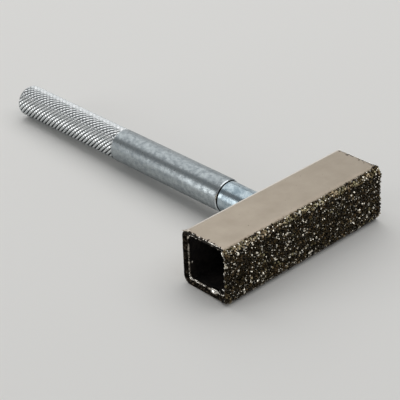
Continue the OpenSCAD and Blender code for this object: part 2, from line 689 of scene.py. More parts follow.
@dataclass
class HeadTube:
    """Square tube across the handle, with sawn ends.

    Attributes:
        length: Length of the tube, in millimetres as all sizes here.
        width: Outer width.
        wall: Wall thickness.
        outer_radius: Radius of the long outer corners.
        inner_radius: Radius of the long inner corners.
        flat_steps: Points along each flat of the section.
        corner_steps: Points round each corner.
        bevel: How far inside the end the deburred inner edge lies.
        lip: Way over one end, from outside to inside: share of the wall, reach past the sawn
            plane, and share of the bevel that is taken off that reach.
        zone_rows: First rows of the lip that belong to the rim, the edge and the bore.
        bore_rows: Rings of points along the bore.
        bore_inset: Distance from an end to the first of them.
        side_rows: Rings of points along the outside.
        side_inset: Distance from an end to the first of them.
        marks: Marks of the saw and the plating.
        crease: Angle above which an edge stays sharp, in degrees.
    """

    length: float = 45.0
    width: float = 12.7
    wall: float = 1.2
    outer_radius: float = 1.8
    inner_radius: float = 1.1
    flat_steps: int = 56
    corner_steps: int = 14
    bevel: float = 0.6
    lip: tuple[Triple, ...] = (
        (0.0, -0.5, 0.0), (0.0, -0.16, 0.0), (0.02, -0.07, 0.0), (0.07, -0.015, 0.0),
        (0.16, 0.0, 0.0), (0.3, 0.0, 0.1), (0.45, 0.0, 0.25), (0.6, 0.0, 0.45), (0.74, 0.0, 0.68),
        (0.84, 0.03, 0.85), (0.91, 0.06, 1.0), (0.97, 0.06, 1.0), (1.04, 0.0, 1.0),
        (1.08, -0.1, 1.0), (1.06, -0.2, 1.0), (1.01, -0.4, 1.0), (1.0, -0.8, 1.0),
    )
    zone_rows: tuple[int, int, int] = (3, 9, 14)
    bore_rows: int = 10
    bore_inset: float = 4.0
    side_rows: int = 12
    side_inset: float = 2.5
    marks: SawMarks = SawMarks()
    crease: float = 50.0
    plate: DullNickelPlate = DullNickelPlate("dull nickel plate on drawn tube")
    # Bare saw cut under a thin plate: nearly black, with brown patches that catch little light
    rim: PatchedMetal = PatchedMetal(
        "sawn and plated tube end", "#50473c", "#0f0c09", patch_mm=0.6, share=0.6,
    )
    # Plate grows thick on an edge: a broken bright line between dark gaps
    edge: PatchedMetal = PatchedMetal(
        "nickel built up on the inner edge", "#cfc6b8", "#241e18", patch_mm=1.3, share=0.55,
        gloss=0.16, matt=0.5,
    )
    # Plate hardly reaches the bore: dull, dark scale that swallows the light
    bore: PatchedMetal = PatchedMetal(
        "mill scale inside the tube", "#3a3532", "#1b1817", patch_mm=2.5, metallic=0.35,
        gloss=0.5, matt=0.75,
    )

    # Plate stays whole on the burr: one small pale point at the corner
    burr_plate: PatchedMetal = PatchedMetal(
        "clean nickel plate on the saw burr", "#cbc2b5", "#a19687", patch_mm=0.8, share=0.4,
        matt=0.45,
    )

    @property
    def outer(self) -> np.ndarray:
        """Section of the outside."""
        return self.section(self.width, self.outer_radius)

    @property
    def inner(self) -> np.ndarray:
        """Section of the bore."""
        return self.section(self.width - 2 * self.wall, self.inner_radius)

    def section(self, width: float, radius: float) -> np.ndarray:
        """Draws a square with round corners, from the top's rear end forwards and down.

        Args:
            width: Width of the square.
            radius: Radius of its corners.

        Returns:
            Y and Z of each point.
        """
        half, side = width / 2, width / 2 - radius
        loop = []
        for quarter in range(4):
            face = math.pi / 2 * (quarter + 1)
            out = np.array([math.cos(face), math.sin(face)])
            on = np.array([-out[1], out[0]])
            for step in np.linspace(-side, side, self.flat_steps, endpoint=False):
                loop.append(out * half + on * step)
            for turn in np.linspace(0.0, math.pi / 2, self.corner_steps, endpoint=False):
                way = np.array([math.cos(face + turn), math.sin(face + turn)])
                loop.append((out + on) * side + radius * way)
        return np.array(loop) + [0.0, self.width / 2]

    def build(self) -> list[bpy.types.Object]:
        """Builds the tube.

        Returns:
            The new piece.
        """
        outer, inner = self.outer, self.inner
        half = self.length / 2
        bore_end, side_end = half - self.bore_inset, half - self.side_inset
        lip = [(share, reach - cut * self.bevel) for share, reach, cut in self.lip]
        # Way round the wall: share of the wall, place along X, and which end the ring is near
        path = [(share, half + reach, 1) for share, reach in lip]
        path += [(1.0, x, 0) for x in np.linspace(bore_end, -bore_end, self.bore_rows)]
        path += [(share, -half - reach, -1) for share, reach in reversed(lip)]
        path += [(0.0, x, 0) for x in np.linspace(-side_end, side_end, self.side_rows)]
        points = np.array([
            np.column_stack([np.full(len(outer), x), outer + (inner - outer) * share])
            for share, x, _ in path
        ])
        for ring, (share, _, side) in zip(points, path):
            if side:
                self.roughen(ring, share, side)
        count, around = points.shape[:2]
        rows = range(len(lip))
        inside, outside = [len(lip)] * self.bore_rows, [-1] * self.side_rows
        row_of_ring = [*rows, *inside, *reversed(rows), *outside]
        row_of_band = np.minimum(row_of_ring, np.roll(row_of_ring, -1))
        finishes = {
            TubeZone.OUTSIDE: self.plate, TubeZone.RIM: self.rim,
            TubeZone.EDGE: self.edge, TubeZone.BORE: self.bore, TubeZone.BURR: self.burr_plate,
        }
        zones = np.tile(np.digitize(row_of_band, self.zone_rows)[:, None], around)
        on_burr = self.from_burr(outer) < self.marks.burr_clean
        burr_rows = [row for row in rows if lip[row][0] < self.marks.burr_wall]
        left = np.array([side < 0 for _, _, side in path]) & np.isin(row_of_band, burr_rows)
        zones[np.ix_(left, on_burr)] = int(TubeZone.BURR)
        tube = make_piece(
            "head_tube_plated",
            points.reshape(-1, 3),
            grid_quads(count, around, wrap_rows=True).tolist(),
            [finishes[zone].build() for zone in TubeZone],
            zones=zones.ravel(),
            crease=self.crease,
        )
        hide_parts("head_tube")
        return [tube]

    def roughen(self, ring: np.ndarray, share: float, side: int) -> None:
        """Gives one ring of points near an end the marks of the saw and the plating.

        Args:
            ring: The points, changed in place.
            share: Place of the ring between the outside and the inside.
            side: 1 at the right end and -1 at the left.
        """
        marks = self.marks
        out = ring[:, 1:] - np.array([0.0, self.width / 2])
        out /= np.linalg.norm(out, axis=1)[:, None]
        coarse, fine = marks.coarse.at(ring, side), marks.fine.at(ring, side)
        reach = marks.outer_reach if share < 0.5 else marks.inner_reach + self.bevel
        weight = smoothstep((abs(ring[0, 0]) - self.length / 2 + reach) / marks.fade)
        edge = smoothstep((share - marks.edge_from) / marks.edge_growth)
        lumps = edge * marks.edge_height * (coarse + marks.edge_fine * fine)
        swell = edge * marks.edge_swell * np.maximum(coarse + fine, 0.0)
        flat = marks.coarse_height * coarse + marks.fine_height * fine
        ring[:, 0] += side * weight * (flat + lumps)
        ring[:, 1:] += out * (weight * (marks.fine_swell * fine - swell))[:, None]
        if side < 0 and share < marks.burr_wall:
            away = self.from_burr(ring[:, 1:])
            burr = marks.burr * smoothstep(1.0 - away / marks.burr_width) * weight
            ring[:, 0] -= burr
            ring[:, 2] += marks.burr_lift * burr

    def from_burr(self, places: np.ndarray) -> np.ndarray:
        """Gives the distance of places on a section from the middle of the saw's burr.

        Args:
            places: Y and Z of each place.

        Returns:
            One distance for each place.
        """
        corner = np.array([self.width / 2, self.width])
        middle = corner - np.array(self.marks.burr_place) * self.outer_radius
        return np.linalg.norm(places - middle, axis=1)


@dataclass(frozen=True)
class Bead:
    """One bead of plate on an edge of the tube.

    Attributes:
        side: 1 at the right end of the tube and -1 at the left.
        edge: Section of the tube that the bead lies on.
        at: Number of the section's point that it lies on.
        inset: How far inside the end it lies, in millimetres as all sizes here.
        sink: How far it is shifted towards the tube's axis.
        radii: Radii along X, along the edge and across it.
    """

    side: int
    edge: np.ndarray
    at: int
    inset: float
    sink: float
    radii: Triple

    def points(self, ball: np.ndarray, end: float) -> np.ndarray:
        """Places the bead's points.

        Args:
            ball: Points of a lumpy ball of radius one.
            end: Distance of the tube's ends from its middle.

        Returns:
            The points in the part's frame.
        """
        on = self.edge[(self.at + 1) % len(self.edge)] - self.edge[self.at - 1]
        on /= np.linalg.norm(on)
        place = self.edge[self.at] + np.array([-on[1], on[0]]) * self.sink
        x, along, across = (ball * self.radii).T
        turned = [x, along * on[0] - across * on[1], along * on[1] + across * on[0]]
        return np.column_stack(turned) + [self.side * (end - self.inset), *place]


@dataclass
class RimBeads:
    """Beads of nickel that the plating grew on the edges of the tube's ends.

    Attributes:
        tube: The tube that carries the beads.
        lead_beads: Place across, place up, size and depth inside the edge of the largest beads
            on each end, in millimetres as all sizes here.
        lead_form: Radii of a large bead along X, along the edge and across it, over its size.
        lead_sink: Shift of a large bead towards the tube's axis, over its size.
        stand: How far the beads on the inner edge stand out from the foot of the bevel.
        bead_count: Small beads on the inner edge of each end.
        bead_base: Radius of the smallest of them.
        bead_growth: How much larger the largest is.
        bead_rarity: Power that makes the large ones rare.
        bead_long: Least and greatest length of a bead, over its radius.
        bead_slim: Its other radii, over the first.
        bead_sink: Least and greatest shift of a bead towards the tube's axis.
        low_share: Share of the small beads that gather on the lower edge.
        low_height: Height up to which an edge counts as low, over the tube's width.
        burr_count: Beads on the top edge of each end.
        burr_base: Radius of the smallest of them.
        burr_growth: How much larger the largest is.
        burr_rarity: Power that makes the large ones rare.
        burr_long: Least and greatest length of a burr, over its radius.
        burr_lean: Power that gathers them towards the grit.
        burr_inset: How far inside the end they lie.
        burr_sink: Shift of a burr towards the tube's axis, into the wall.
        top_depth: Depth under the top up to which the outer edge carries them.
        lumps: Lumps on each bead, over its size.
        draw: Seed of the random draws.
    """

    tube: HeadTube
    lead_beads: tuple[tuple[float, float, float, float], ...] = (
        (-2.2, 1.2, 0.86, 0.0), (-3.2, 1.2, 0.36, 1.4), (-4.6, 1.4, 0.34, 0.0),
        (4.4, 1.5, 0.44, 0.0), (3.4, 1.3, 0.36, 0.2), (0.8, 1.2, 0.36, 0.0),
        (-4.9, 11.1, 0.42, 0.0), (-5.1, 6.6, 0.3, 0.0), (-5.1, 4.9, 0.26, 0.0),
        (5.1, 4.6, 0.24, 0.9),
    )
    lead_form: Triple = (0.85, 1.5, 0.65)
    lead_sink: float = 0.25
    stand: float = 0.1
    bead_count: int = 40
    bead_base: float = 0.07
    bead_growth: float = 0.13
    bead_rarity: float = 2.2
    bead_long: Pair = (1.1, 1.8)
    bead_slim: float = 0.8
    bead_sink: Pair = (-0.08, 0.04)
    low_share: float = 0.62
    low_height: float = 0.2
    burr_count: int = 26
    burr_base: float = 0.06
    burr_growth: float = 0.1
    burr_rarity: float = 1.6
    burr_long: Pair = (1.0, 2.2)
    burr_lean: float = 0.6
    burr_inset: float = -0.02
    burr_sink: float = 0.06
    top_depth: float = 0.1
    lumps: Bumps = Bumps(0.22, 0.9, 3.0)
    draw: int = 41
    # Clean nickel grown thick: small pale mirrors, each with a glint of a lamp
    plate: PatchedMetal = PatchedMetal(
        "nickel beads grown on the edges", "#f6f1e8", "#c4b9a6", patch_mm=0.3, share=0.36,
        gloss=0.1, matt=0.24, relief_mm=0.02,
    )

    def scatter(self) -> list[Bead]:
        """Drops the beads on the edges of both ends.

        Returns:
            The beads.
        """
        rng = np.random.default_rng(self.draw)
        inner, outer = self.tube.inner, self.tube.outer
        low = np.where(inner[:, 1] < self.tube.width * self.low_height)[0]
        top = np.where(outer[:, 1] > self.tube.width - self.top_depth)[0]
        foot = self.tube.bevel - self.stand
        beads = []
        for side in (-1, 1):
            for across, up, size, depth in self.lead_beads:
                at = int(np.argmin(np.hypot(inner[:, 0] - across, inner[:, 1] - up)))
                radii = tuple(share * size for share in self.lead_form)
                beads.append(Bead(side, inner, at, foot + depth, self.lead_sink * size, radii))
            for _ in range(self.bead_count):
                gathered = rng.random() < self.low_share
                at = rng.choice(low) if gathered else rng.integers(len(inner))
                size = self.bead_base + self.bead_growth * rng.random() ** self.bead_rarity
                slim = self.bead_slim * size
                radii = (slim, size * rng.uniform(*self.bead_long), slim)
                beads.append(Bead(side, inner, at, foot, rng.uniform(*self.bead_sink), radii))
            for _ in range(self.burr_count):
                at = top[int(len(top) * rng.random() ** self.burr_lean)]
                size = self.burr_base + self.burr_growth * rng.random() ** self.burr_rarity
                radii = (size, size * rng.uniform(*self.burr_long), size)
                beads.append(Bead(side, outer, at, self.burr_inset, self.burr_sink, radii))
        return beads

    def build(self) -> list[bpy.types.Object]:
        """Builds the beads as one piece.

        Returns:
            The new piece.
        """
        ball = bpy.data.meshes.new("bead_form")
        form = bmesh.new()
        bmesh.ops.create_icosphere(form, subdivisions=3, radius=1.0)
        form.to_mesh(ball)
        form.free()
        unit = np.array([v.co for v in ball.vertices])
        unit_faces = np.array([tuple(p.vertices) for p in ball.polygons])
        bpy.data.meshes.remove(ball)
        points, faces = [], []
        for number, bead in enumerate(self.scatter()):
            lumpy = unit * (1.0 + self.lumps.at(unit, number))[:, None]
            faces.append(unit_faces + len(unit) * number)
            points.append(bead.points(lumpy, self.tube.length / 2))
        piece = make_piece(
            "rim_beads",
            np.concatenate(points),
            np.concatenate(faces).tolist(),
            [self.plate.build()],
        )
        return [piece]


@dataclass(frozen=True)
class CornerHighlight:
    """Painted highlight along the top front corner: paler grains, more of them capped with nickel.

    Attributes:
        start: How far under the top the highlight begins, in millimetres as all sizes here.
        rise: Height over which it becomes full.
        border: How far under the top it begins to fade.
        fade: Height over which it fades.
        loss: Share of it that is lost at the border.
        pale: How much it adds to a grain's tone.
        caps: How much it adds to the share of capped grains.
    """

    start: float = 1.7
    rise: float = 1.0
    border: float = 0.5
    fade: float = 0.4
    loss: float = 0.85
    pale: float = 0.42
    caps: float = 0.7

    def at(self, above: np.ndarray) -> np.ndarray:
        """Gives the highlight at each height.

        Args:
            above: Heights above the tube's top, negative under it.

        Returns:
            The highlight, from 0 to 1.
        """
        highlit = smoothstep((above + self.start) / self.rise)
        return highlit * (1.0 - self.loss * smoothstep((above + self.border) / self.fade))


@dataclass
class GritCoating:
    """Diamond grit in its nickel bond, over the front of the tube.

    Attributes:
        tube: The tube that carries the grit.
        bond: Thickness of the bond, in millimetres as all sizes here.
        bond_angle: Angle that the bond's mesh reaches round the front corners, in degrees.
        bond_sink: How far that mesh lies under the plate where no grit covers it.
        bond_bumps: Bumps of the bond.
        bond_crease: Angle above which an edge of the bond stays sharp, in degrees.
        step: Spacing of the bond's points.
        fold: Way of the bond round an end, from the bore outwards: reach past the sawn plane,
            share of the bevel that is taken off it, and depth under the tube's surface.
        fold_start: Distance from an end at which the fold begins.
        under: Way of the bond's underside from an end inwards: distance from the sawn plane, and
            depth under the tube's surface.
        end_from: Reach past the sawn plane from which the bumps stand along X.
        fold_radius: Radius of the grains' turn over the ends of the tube.
        border: Angle that the layer reaches round the front corners, in degrees.
        wander: Bumps that make the border ragged.
        border_gap: Distance in those bumps from the middle of the face to each border.
        spread: How much further the layer reaches at the right end.
        spread_length: Length over which it does so.
        fade_past: How far past the border the layer has faded.
        fade: Length over which it fades.
        grain_angle: Angle round the front corners up to which grains may lie, in degrees.
        bare_edge: Width of the wall's sawn end that stays free of grains.
        smallest: Radius of the smallest grains.
        largest: Radius of the largest grains.
        rarity: Power that makes the large grains rare.
        tries: Places tried for a grain.
        crowding: Least distance of two grains, over the sum of their radii.
        thin_cover: Cover under which only small grains lie.
        thin_radius: Radius of the largest of those.
        lift: Least and greatest height of a grain over the bond, over its radius.
        stretch: Least and greatest stretch of a crystal along each of its axes.
        uneven: How far a corner of a crystal is moved in or out, over its radius.
        swell: Radius of a crystal, over that of the place that it takes.
        tone_shape: Shape of the spread of tones, of which most are dark.
        tone_range: Tone of the palest grain away from the corner.
        tone_drift: Slow drift of the tones over the face.
        corner_highlight: Painted highlight along the top front corner.
        capped_share: Share of the grains that a cap of nickel covers.
        bright_share: Share of the other grains' facets that nickel covers.
        cap_growth: How much wider the cap makes a grain.
        place_draw: Seed of the draws for the grains' places.
        form_draw: Seed of the draws for their forms.
    """

    tube: HeadTube
    bond: float = 0.2
    bond_angle: float = 88.0
    bond_sink: float = 0.05
    bond_bumps: tuple[Bumps, ...] = (Bumps(0.07, 0.42, 3.0), Bumps(0.035, 0.17, 4.0))
    bond_crease: float = 70.0
    step: float = 0.16
    fold: tuple[Triple, ...] = (
        (-0.05, 1.0, 1.04), (0.1, 1.0, 1.0), (0.15, 0.7, 0.8), (0.17, 0.45, 0.6), (0.2, 0.25, 0.4),
        (0.2, 0.1, 0.2), (0.18, 0.0, 0.04), (0.12, 0.0, -0.12), (0.02, 0.0, -0.2),
    )
    fold_start: float = 0.12
    under: tuple[Pair, ...] = ((0.4, 0.6), (0.3, 0.1))
    end_from: float = 0.1
    fold_radius: float = 0.2
    border: float = 57.0
    wander: tuple[Bumps, ...] = (
        Bumps(0.16, 2.4, 8.0), Bumps(0.16, 0.7, 9.0), Bumps(0.1, 0.3, 10.0),
    )
    border_gap: float = 7.0
    spread: float = 0.4
    spread_length: float = 4.0
    fade_past: float = 0.1
    fade: float = 0.4
    grain_angle: float = 90.0
    bare_edge: float = 0.25
    smallest: float = 0.13
    largest: float = 0.28
    rarity: float = 1.6
    tries: int = 90000
    crowding: float = 0.8
    thin_cover: float = 0.8
    thin_radius: float = 0.2
    lift: Pair = (-0.25, 0.3)
    stretch: Pair = (0.7, 1.25)
    uneven: float = 0.1
    swell: float = 1.08
    tone_shape: Pair = (1.0, 2.6)
    tone_range: float = 0.75
    tone_drift: Bumps = Bumps(0.1, 3.0, 6.0)
    corner_highlight: CornerHighlight = CornerHighlight()
    capped_share: float = 0.05
    bright_share: float = 0.05
    cap_growth: float = 0.08
    place_draw: int = 7
    form_draw: int = 11
    # Nickel plated between the grains: a rough ground that only shows in the gaps, its own brown
    # darkened near black as painted shade between the grains
    bond_metal: PatchedMetal = PatchedMetal(
        "brown nickel bond darkened with painted shade", "#16110c", "#050403", patch_mm=0.35, metallic=0.8, gloss=0.4,
        matt=0.7, relief_mm=0.08,
    )
    grain: DiamondGrain = DiamondGrain("amber diamond grit")
    # Nickel grown over a crystal: small pale mirrors that glint white among the dark grains
    cap: PatchedMetal = PatchedMetal(
        "nickel caps on the grit", "#fbf5e6", "#8c7c58", patch_mm=0.25, share=0.38, gloss=0.1,
        matt=0.3, relief_mm=0.02,
    )

    def length_to(self, angle: float) -> float:
        """Gives the length along the section from the middle of the face to an angle.

        Args:
            angle: Angle round the front corner, in degrees.

        Returns:
            The length.
        """
        radius = self.tube.outer_radius
        return self.tube.width / 2 - radius + radius * math.radians(angle)

    def surface(self, s: np.ndarray) -> tuple[np.ndarray, np.ndarray]:
        """Finds places on the tube's front, from a length measured along its section.

        Args:
            s: Length up from the middle of the front face, round the corner and onto the top, or
                down to the bottom where it is negative.

        Returns:
            Y and Z of each place, and the direction out of the surface there.
        """
        radius = self.tube.outer_radius
        side = self.tube.width / 2 - radius
        past = np.maximum(np.abs(s) - side, 0.0)
        angle = np.minimum(past / radius, math.pi / 2)
        flat = np.maximum(past - radius * math.pi / 2, 0.0)
        sign = np.sign(s)
        y = -side - radius * np.cos(angle) + flat
        z = np.clip(s, -side, side) + sign * radius * np.sin(angle)
        places = np.stack([y, z + self.tube.width / 2], axis=-1)
        return places, np.stack([-np.cos(angle), sign * np.sin(angle)], axis=-1)

    def reach(self, x: np.ndarray, upper: np.ndarray) -> np.ndarray:
        """Gives the length along the section at which the layer ends.

        Args:
            x: Places along the head.
            upper: 1 above the middle of the face and -1 below.

        Returns:
            The length from the middle of the face to the ragged border.
        """
        spots = np.column_stack([x, upper * self.border_gap, np.zeros_like(x)])
        wander = sum(bumps.at(spots) for bumps in self.wander)
        near_end = smoothstep((x - self.tube.length / 2 + self.spread_length) / self.spread_length)
        return self.length_to(self.border) + wander + self.spread * near_end

    def cover(self, x: np.ndarray, s: np.ndarray) -> np.ndarray:
        """Gives how full the layer is, from 1 inside to 0 at its border.

        Args:
            x: Places along the head.
            s: Lengths along the section.

        Returns:
            One value for each place.
        """
        left = self.reach(x, np.sign(s)) - np.abs(s)
        return smoothstep((left + self.fade_past) / self.fade)

    def build(self) -> list[bpy.types.Object]:
        """Builds the bond and its grains.

        Returns:
            The new pieces.
        """
        return [self.build_bond(), self.build_grains()]

    def build_bond(self) -> bpy.types.Object:
        """Builds the rough layer of nickel that holds the grains.

        Returns:
            The new piece.
        """
        half = self.tube.length / 2
        limit = self.length_to(self.bond_angle)
        s = np.linspace(limit, -limit, int(2 * limit / self.step))
        places, out = self.surface(s)
        # Way along the head: place along X and depth under the tube's surface
        fold = [(half + reach - cut * self.tube.bevel, depth) for reach, cut, depth in self.fold]
        front = half - self.fold_start
        path = [(-x, depth) for x, depth in fold]
        path += [(x, -self.bond) for x in np.linspace(-front, front, int(2 * half / self.step))]
        path += reversed(fold)
        # The underside closes the layer on the way back, inside the tube's wall
        skin = len(path)
        under = [(half - inset, depth) for inset, depth in self.under]
        path += under + [(-x, depth) for x, depth in reversed(under)]
        rows, covers = [], []
        for x, depth in path:
            full = self.cover(np.full_like(s, min(max(x, -half), half)), s)
            layer = -depth * full - self.bond_sink * (1.0 - full)
            over = np.where(depth < 0, layer, -depth)
            rows.append(np.column_stack([np.full_like(s, x), places + out * over[:, None]]))
            covers.append(full if len(rows) <= skin else np.zeros_like(s))
        flat = np.concatenate(rows)
        bumps = sum(layer.at(flat) for layer in self.bond_bumps)
        heading = np.tile(np.column_stack([np.zeros_like(s), out]), (len(path), 1))
        ends = np.abs(flat[:, 0]) > half + self.end_from
        heading[ends] = np.column_stack([np.sign(flat[ends, 0]), np.zeros((ends.sum(), 2))])
        faces = grid_quads(len(path), len(s), wrap_rows=True, wrap_columns=False).tolist()
        border = list(range(0, len(flat), len(s)))
        faces += [border, [point + len(s) - 1 for point in reversed(border)]]
        piece = make_piece(
            "grit_bond",
            flat + heading * (bumps * np.concatenate(covers))[:, None],
            faces,
            [self.bond_metal.build()],
            crease=self.bond_crease,
        )
        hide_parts("diamond_coating")
        return piece

    def scatter(self) -> tuple[np.ndarray, np.ndarray]:
        """Drops grains on the front and on the ends of its wall until they crowd each other.

        Returns:
            Centre and radius of each grain.
        """
        rng = np.random.default_rng(self.place_draw)
        half = self.tube.length / 2
        limit = self.length_to(self.grain_angle)
        quarter = self.fold_radius * math.pi / 2
        past = self.tube.wall - self.bare_edge + quarter
        x = rng.uniform(-half - past, half + past, self.tries)
        s = rng.uniform(-limit, limit, self.tries)
        chance = rng.random(self.tries) ** self.rarity
        size = self.smallest + (self.largest - self.smallest) * chance
        luck = rng.random(self.tries)
        full = self.cover(np.clip(x, -half, half), s)
        keep = self.uncrowded(x, s, size, (luck <= full) & (
            (full >= self.thin_cover) | (size <= self.thin_radius)
        ))
        x, full, size = x[keep], full[keep], size[keep]
        places, out = self.surface(s[keep])
        lift = self.bond * full + size * rng.uniform(*self.lift, len(keep))
        # Round each end the layer turns through a right angle and runs on over the sawn wall
        over = np.abs(x) - half
        turn = np.clip(over / self.fold_radius, 0.0, math.pi / 2)
        depth = np.maximum(over - quarter, 0.0)
        beyond = np.where(over > 0.0, lift * np.sin(turn), 0.0)
        above = np.where(over > 0.0, lift * np.cos(turn), lift)
        inset = self.tube.bevel * smoothstep(depth / self.tube.wall)
        along = np.sign(x) * (np.minimum(np.abs(x), half) + beyond - inset)
        return np.column_stack([along, places + out * (above - depth)[:, None]]), size

    def uncrowded(
        self, x: np.ndarray, s: np.ndarray, size: np.ndarray, allowed: np.ndarray
    ) -> np.ndarray:
        """Keeps the places that are far enough from the larger grains around them.

        Args:
            x: Places along the head.
            s: Lengths along the section.
            size: Radius of the grain at each place.
            allowed: Whether the layer has a grain there at all.

        Returns:
            Numbers of the places that are kept, the largest grains first.
        """
        cells: dict[tuple[int, int], list[int]] = {}
        kept: list[int] = []
        pitch = 2 * self.largest
        steps = (-1, 0, 1)
        for at in np.argsort(-np.round(size, 2), kind="stable"):
            if not allowed[at]:
                continue
            i, j = int(x[at] // pitch), int(s[at] // pitch)
            near = [k for a in steps for b in steps for k in cells.get((i + a, j + b), [])]
            if any(
                math.hypot(x[at] - x[k], s[at] - s[k]) < self.crowding * (size[at] + size[k])
                for k in near
            ):
                continue
            cells.setdefault((i, j), []).append(at)
            kept.append(at)
        return np.array(kept)

    def build_grains(self) -> bpy.types.Object:
        """Builds the grains as blunt crystals.

        Returns:
            The new piece.
        """
        unit = np.array(self.crystal_corners())
        faces = self.crystal_faces(unit)
        centre, size = self.scatter()
        rng = np.random.default_rng(self.form_draw)
        count, corners = len(centre), len(unit)
        points = np.empty((count, corners, 3))
        for at in range(count):
            axis = Vector(rng.normal(size=3)).normalized()
            turn = np.array(Matrix.Rotation(rng.uniform(0.0, math.tau), 3, axis))
            stretch = rng.uniform(*self.stretch, 3)
            shape = unit * (1.0 + rng.uniform(-self.uneven, self.uneven, (corners, 1))) * stretch
            points[at] = centre[at] + shape @ turn.T * size[at] * self.swell
        drawn = rng.beta(*self.tone_shape, count) + self.tone_drift.at(centre)
        # Painted highlight: grains along the top front corner are paler, and more are capped with
        # nickel
        highlit = self.corner_highlight.at(centre[:, 2] - self.tube.width)
        tone = self.tone_range * np.clip(drawn, 0.0, 1.0) + self.corner_highlight.pale * highlit
        capped = rng.random(count) < self.capped_share * (1.0 + self.corner_highlight.caps * highlit)
        points[capped] += self.cap_growth * (points[capped] - centre[capped][:, None])
        bright = rng.random((count, len(faces))) < self.bright_share * (1.0 + highlit[:, None])
        covered = capped[:, None] | bright
        first = np.arange(count)[:, None, None] * corners
        piece = make_piece(
            "diamond_grains",
            points.reshape(-1, 3),
            (faces[None] + first).reshape(-1, 3).tolist(),
            [self.grain.build(), self.cap.build()],
            zones=np.where(covered, int(GrainKind.CAPPED), int(GrainKind.DIAMOND)).ravel(),
            crease=None,
            marks={"grain_tone": np.repeat(np.clip(tone, 0.0, 1.0), corners)},
        )
        return piece

    @staticmethod
    def crystal_corners() -> list[Triple]:
        """Lists the corners of a crystal that lies between a cube and an octahedron.

        Returns:
            The twelve corners, at a distance of one from the middle.
        """
        near = math.sqrt(0.5)
        corners = []
        for a in (-near, near):
            for b in (-near, near):
                corners += [(a, b, 0.0), (0.0, a, b), (b, 0.0, a)]
        return corners

    @staticmethod
    def crystal_faces(unit: np.ndarray) -> np.ndarray:
        """Lists the facets of the crystal, cut into triangles that face outwards.

        Args:
            unit: Corners of the crystal.

        Returns:
            Point numbers, three for each facet.
        """
        faces = []
        signs = (-1, 1)
        for octant in [(a, b, c) for a in signs for b in signs for c in signs]:
            faces.append([k for k in range(len(unit)) if min(unit[k] * octant) >= 0.0])
        for axis in range(3):
            one, two = (n for n in range(3) if n != axis)
            for sign in signs:
                ring = [k for k in range(len(unit)) if unit[k][axis] * sign > 0.0]
                ring.sort(key=lambda k: math.atan2(unit[k][two], unit[k][one]))
                faces += [[ring[0], ring[1], ring[2]], [ring[0], ring[2], ring[3]]]
        for face in faces:
            a, b, c = (unit[k] for k in face)
            if np.dot(np.cross(b - a, c - a), a + b + c) < 0.0:
                face.reverse()
        return np.array(faces)


